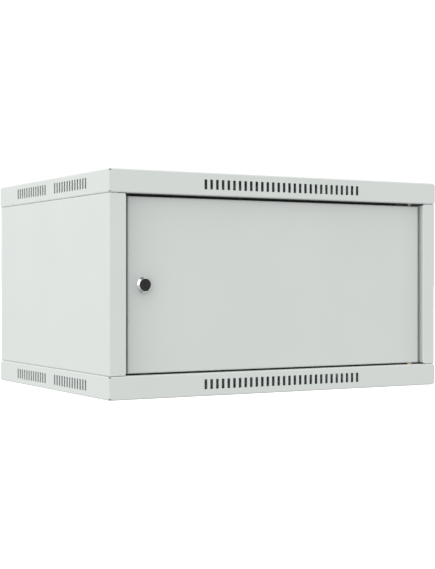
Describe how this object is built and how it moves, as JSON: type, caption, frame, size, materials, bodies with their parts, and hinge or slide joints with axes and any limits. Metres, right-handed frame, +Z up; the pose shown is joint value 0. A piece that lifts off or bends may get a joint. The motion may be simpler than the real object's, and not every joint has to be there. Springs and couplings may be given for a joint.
{
  "type": "wall-mount network server rack cabinet",
  "caption": "Low wall-mount 19-inch network cabinet: folded steel case with vent slots, inset solid door with cam lock, sliding mounting rails and cable-entry covers.",
  "frame": {"origin": "middle of the underside", "axes": "+Z up, -Y towards the front where the door is, +X to the right of a person who faces the door"},
  "size_m": [0.6, 0.45, 0.337],
  "materials": {
    "grey_paint": "fine-textured light grey powder coat",
    "galvanised": "galvanised sheet with a soft spangle",
    "zinc_plate": "bright zinc plate",
    "chrome": "polished chrome",
    "black_lock": "satin black",
    "brass_bush": "dull brass",
    "spring_steel": "dark oiled steel",
    "rubber": "matt black rubber"
  },
  "bodies": {
    "cabinet": {"bottom_pan": "grey_paint", "top_pan": "grey_paint", "side_panel_left": "grey_paint", "side_panel_right": "grey_paint", "back_panel": "grey_paint", "back_entry_edging": "rubber", "bottom_pan_screws": "zinc_plate", "top_pan_screws": "zinc_plate", "bottom_pan_nuts": "zinc_plate", "top_pan_nuts": "zinc_plate", "back_panel_screws": "zinc_plate", "back_panel_nuts": "zinc_plate", "depth_bar_lower_left": "galvanised", "depth_bar_lower_right": "galvanised", "depth_bar_upper_left": "galvanised", "depth_bar_upper_right": "galvanised", "bottom_cover_studs": "zinc_plate", "top_cover_studs": "zinc_plate", "bottom_cover_nuts": "zinc_plate", "top_cover_nuts": "zinc_plate", "door_buffers": "rubber", "top_hinge_bush": "brass_bush", "bottom_hinge_bush": "brass_bush", "frame_earth_stud": "zinc_plate", "frame_earth_nut": "zinc_plate"},
    "door": {"door_shell": "grey_paint", "door_stiffener": "grey_paint", "top_hinge_bracket": "grey_paint", "bottom_hinge_bracket": "grey_paint", "bottom_hinge_pin": "spring_steel", "lock_body": "chrome", "lock_nut": "zinc_plate", "door_earth_stud": "zinc_plate", "door_earth_nut": "zinc_plate"},
    "lock": {"lock_plug": "black_lock", "lock_cam": "zinc_plate", "cam_screw": "zinc_plate"},
    "hinge_pin": {"top_hinge_pin": "spring_steel", "hinge_spring": "spring_steel"},
    "front_left": {"front_left_rail": "galvanised", "front_left_rail_bolts": "zinc_plate", "front_left_rail_nuts": "zinc_plate"},
    "front_right": {"front_right_rail": "galvanised", "front_right_rail_bolts": "zinc_plate", "front_right_rail_nuts": "zinc_plate"},
    "rear_left": {"rear_left_rail": "galvanised", "rear_left_rail_bolts": "zinc_plate", "rear_left_rail_nuts": "zinc_plate"},
    "rear_right": {"rear_right_rail": "galvanised", "rear_right_rail_bolts": "zinc_plate", "rear_right_rail_nuts": "zinc_plate"},
    "bottom_cover": {"bottom_entry_cover": "grey_paint"},
    "top_cover": {"top_entry_cover": "grey_paint"}
  },
  "joints": [
    {"name": "door_swing", "type": "hinge", "parent": "cabinet", "child": "door", "pos_m": [0.2548, -0.2125, 0.1677], "axis": [0, 0, 1], "range_deg": [0, 120]},
    {"name": "lock_turn", "type": "hinge", "parent": "door", "child": "lock", "pos_m": [-0.2406, -0.219, 0.16765], "axis": [0, 1, 0], "range_deg": [0, 90]},
    {"name": "hinge_pin_slide", "type": "slide", "parent": "door", "child": "hinge_pin", "axis": [0, 0, 1], "range_m": [-0.009, 0], "stiffness_N_per_m": 500, "springref_m": 0.006, "deforming": ["hinge_spring"]},
    {"name": "front_rail_slide", "type": "slide", "parent": "cabinet", "child": "front_left", "axis": [0, 1, 0], "range_m": [0, 0.08]},
    {"name": "front_right_slide", "type": "slide", "parent": "cabinet", "child": "front_right", "axis": [0, 1, 0], "range_m": [0, 0.08]},
    {"name": "rear_rail_slide", "type": "slide", "parent": "cabinet", "child": "rear_left", "axis": [0, 1, 0], "range_m": [-0.1, 0.03]},
    {"name": "rear_right_slide", "type": "slide", "parent": "cabinet", "child": "rear_right", "axis": [0, 1, 0], "range_m": [-0.1, 0.03]},
    {"name": "bottom_cover_slide", "type": "slide", "parent": "cabinet", "child": "bottom_cover", "axis": [0, 1, 0], "range_m": [-0.035, 0.02]},
    {"name": "top_cover_slide", "type": "slide", "parent": "cabinet", "child": "top_cover", "axis": [0, 1, 0], "range_m": [-0.035, 0.02]}
  ],
  "couplings": [
    {"joint": "front_right_slide", "follows": "front_rail_slide", "ratio": 1},
    {"joint": "rear_right_slide", "follows": "rear_rail_slide", "ratio": 1}
  ]
}
